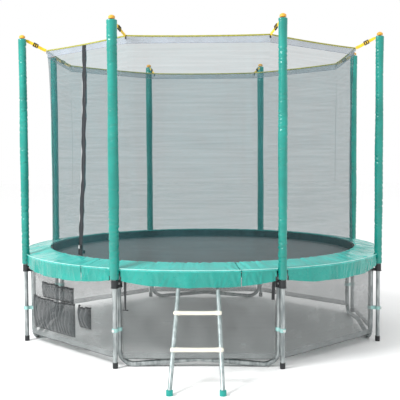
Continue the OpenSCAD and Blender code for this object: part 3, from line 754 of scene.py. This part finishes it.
zip_tape = webbing("zip_tape", linear(22, 26, 32), kind="UV", pitch=160, sheen=0.0)
t = np.linspace(0.004, 1.0, 160)
middle = net_surface(door_at, 0 * t, t)
a = math.radians(door_at)
sideways = np.array([math.cos(a), math.sin(a), 0])
wave = (0.007 + 0.005 * np.sin(17 * t + 1) + 0.003 * np.sin(41 * t)) * np.clip(np.sin(np.pi * t), 0, 1) ** 0.5
inward = -(polar(1.0, door_at, 0) - polar(0.0, door_at, 0))
path = middle + wave[:, None] * sideways + (0.0015 + 0.001 * np.sin(37 * t))[:, None] * inward
out = -inward
wide = 1 + 0.10 * np.sin(61 * t) + 0.06 * np.sin(97 * t)
tape = swept(path, oval(0.056, 0.0016, 12, 0.4)[None] * np.stack([wide, 0 * t + 1], -1)[:, None], up=out)
zip_band = skin("door_tape", [tape], zip_tape, close=(False, True), caps=True, sharp=50)
# Teeth: a bead that swells and narrows along the tape's middle
beads = np.linspace(0.006, 0.985, 900)
teeth_path = np.stack([np.interp(beads, t, path[:, c]) for c in range(3)], -1) + 0.0011 * out
fat = 1 + 0.35 * np.sign(np.sin(np.arange(900) * np.pi / 2 + 0.5))
teeth = swept(teeth_path, oval(0.0065, 0.0022, 6)[None] * fat[:, None, None], up=out)
teeth_finish = moulded("zip_coil_plastic", linear(46, 50, 54), 0.28)
zip_teeth = skin("door_teeth", [teeth], teeth_finish, close=(False, True), caps=True)
for piece in (zip_band, zip_teeth):
    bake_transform(piece)
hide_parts("door_zip")
repaint(zinc, "zip_slider")

# ---- Leg skirt and shoe pockets ----
# Grey mesh curtains between the legs, with a doubled hem at the foot. Three mesh pockets are gathered
# on to the front-left curtain, and their mouths are bound with thick black elastic.

curtain_y = 1.4155
curtain_half = 0.550
curtain_low, curtain_high = 0.060, 0.640
# The curtains' grey mesh is made lighter than its own grey, to stand for the sunlit ground seen through it:
# partly the mesh's colour, partly painted light.
painted_light_skirt_mesh = mesh_cloth("leg_curtain_mesh_painted_light", linear(138, 142, 142), 0.56)
skirt_hem_mesh = mesh_cloth("leg_skirt_hem_mesh", linear(140, 146, 146), 0.4)
pocket_mesh = mesh_cloth("pocket_mesh", linear(48, 54, 56), 0.24)


def facing(points, azimuth):
    """Points of the front side, y outwards, turned to the side at this azimuth."""
    a = math.radians(azimuth)
    x, out = points[..., 0], points[..., 1]
    return np.stack([x * math.cos(a) + out * math.sin(a), CENTRE_Y + x * math.sin(a) - out * math.cos(a),
                     points[..., 2]], -1)


def curtain(x, z, seed, outset=0.0):
    """A flat curtain that waves 3 mm in and out, more at its foot: sines across, times 1 - height."""
    height = (z - curtain_low) / (curtain_high - curtain_low)
    wave = 0.0022 * np.sin(19 * x + seed) + 0.0014 * np.sin(43 * x + 2 * seed)
    return np.stack([x, curtain_y + outset + wave * (1.1 - 0.7 * height), z], -1)


hem_top = 0.105
across = np.linspace(-curtain_half, curtain_half, 80)
panels, hems, foot_cords = [], [], []
for i in range(STATIONS):
    x, z = np.meshgrid(across, np.linspace(curtain_low, curtain_high, 24), indexing="ij")
    panels.append(facing(curtain(x, z, i), i * STEP))
    x, z = np.meshgrid(across, np.linspace(curtain_low, hem_top, 4), indexing="ij")
    hems.append(facing(curtain(x, z, i, 0.0012), i * STEP))
    x = np.linspace(-curtain_half, curtain_half, 60)
    foot_line = facing(curtain(x, 0 * x + curtain_low + 0.002, i), i * STEP)
    foot_cords.append(swept(foot_line, oval(0.004, 0.005, 6)))
leg_skirt = skin("leg_curtains", panels, painted_light_skirt_mesh)
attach(leg_skirt, "root")
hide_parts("leg_skirt")
leg_hem = skin("leg_curtain_hems", hems, skirt_hem_mesh)
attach(leg_hem, "root")
foot_cord = skin("leg_curtain_cords", foot_cords, strip_webbing, close=(False, True), caps=True)
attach(foot_cord, "root")

pocket_at = -45
bindings = []
for k, (x0, x1, z0, z1, deep) in enumerate(((-0.385, 0.045, 0.391, 0.512, 0.034),
                                            (-0.515, 0.060, 0.130, 0.388, 0.044),
                                            (0.128, 0.268, 0.225, 0.388, 0.038))):
    u, t = np.meshgrid(np.linspace(0, 1, 150), np.linspace(0, 1, 30), indexing="ij")
    x = x0 + (x1 - x0) * u
    z = z0 + (z1 - z0) * t + (0.004 * np.sin(6 * u + k) + 0.004 * np.sin(17 * u)) * t
    side = (1 - np.abs(2 * u - 1) ** 8) ** 0.5
    belly = np.sin(np.pi * np.clip(t * 0.75, 0, 1)) ** 0.5
    gather = 0.5 + 0.5 * np.sin(math.tau * x / 0.045 + 2.5 * np.sin(9 * x) + 1.6 * np.sin(7 * t + 21 * x))
    tight = 0.75 * np.exp(-(((1 - t) / 0.25) ** 2)) + 0.55 * np.exp(-((t / 0.2) ** 2))
    out = curtain_y + 0.0025 + deep * side * (0.22 + 0.78 * belly) * (1 - 0.30 * gather * (0.35 + tight))
    out = np.minimum(out, curtain_y + 0.0025 + deep)
    pouch = skin(f"pocket_{k + 1}", [facing(np.stack([x, out, z], -1), pocket_at)], pocket_mesh)
    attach(pouch, "root")
    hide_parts("shoe_pockets")
    mouth = facing(np.stack([x[:, -1], out[:, -1] - 0.001, z[:, -1] - 0.003], -1), pocket_at)
    bindings.append(swept(mouth, oval(0.007, 0.013, 10, 0.7)))
    foot = facing(np.stack([x[:, 0], out[:, 0] - 0.001, z[:, 0] + 0.002], -1), pocket_at)
    bindings.append(swept(foot, oval(0.004, 0.005, 8)))
pocket_bindings = skin("pocket_bindings", bindings, strip_webbing, close=(False, True), caps=True)
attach(pocket_bindings, "root")

# ---- Ladder ----
# Two painted tubes that taper towards the top, two hollow moulded steps flared where they grip the
# tubes, steel hooks over the rail and rubber boots on the feet.

ladder_paint = finish("ladder_tube_paint", linear(160, 172, 172), 0.3, Metallic=0.55)
blotch(ladder_paint, noise(ladder_paint, 30, 4, (1, 1, 0.25)), linear(142, 156, 156), linear(184, 194, 194))
patchy_gloss(ladder_paint, noise(ladder_paint, 80, 2), 0.22, 0.4)
relief(ladder_paint, noise(ladder_paint, 500, 2), 0.0002, 0.4)
repaint(ladder_paint, "ladder_rail_left", "ladder_rail_right")
repaint(moulded("boot_teal_rubber", linear(24, 150, 140), 0.55), "ladder_feet")

step_plastic = moulded("step_pale_plastic", linear(232, 228, 214), 0.42, 0.05)
step_deep, step_high = 0.054, 0.024
ladder_foot = np.array([0.170, -2.080, 0.014])
ladder_top = np.array([0.138, -1.511, 0.612])
for k, height in enumerate((0.241, 0.447)):
    share = (height - ladder_foot[2]) / (ladder_top[2] - ladder_foot[2])
    centre = ladder_foot + share * (ladder_top - ladder_foot)
    reach = centre[0] + 0.019
    x = np.linspace(-reach, reach, 71)
    # the step swells where it holds a tube: 1 + 0.3 exp(-((c - |x|) / 22 mm)^2), and bows 2 mm down
    swell = 1 + 0.34 * np.exp(-(((centre[0] - np.abs(x)) / 0.022) ** 2))
    close_in = np.clip((reach - np.abs(x)) / 0.006, 0.55, 1)
    path = np.stack([x, 0 * x + centre[1] + CENTRE_Y, height - 0.002 * (1 - (x / reach) ** 2)], -1)
    size = np.stack([step_deep * swell**0.6 * close_in, step_high * swell * close_in], -1)
    tread = swept(path, oval(1, 1, 28, 0.62)[None] * size[:, None])
    step = skin(f"ladder_step_{k + 1}", [tread], step_plastic, close=(False, True), caps=True, sharp=45)
    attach(step, "ladder")
    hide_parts("ladder_rungs")
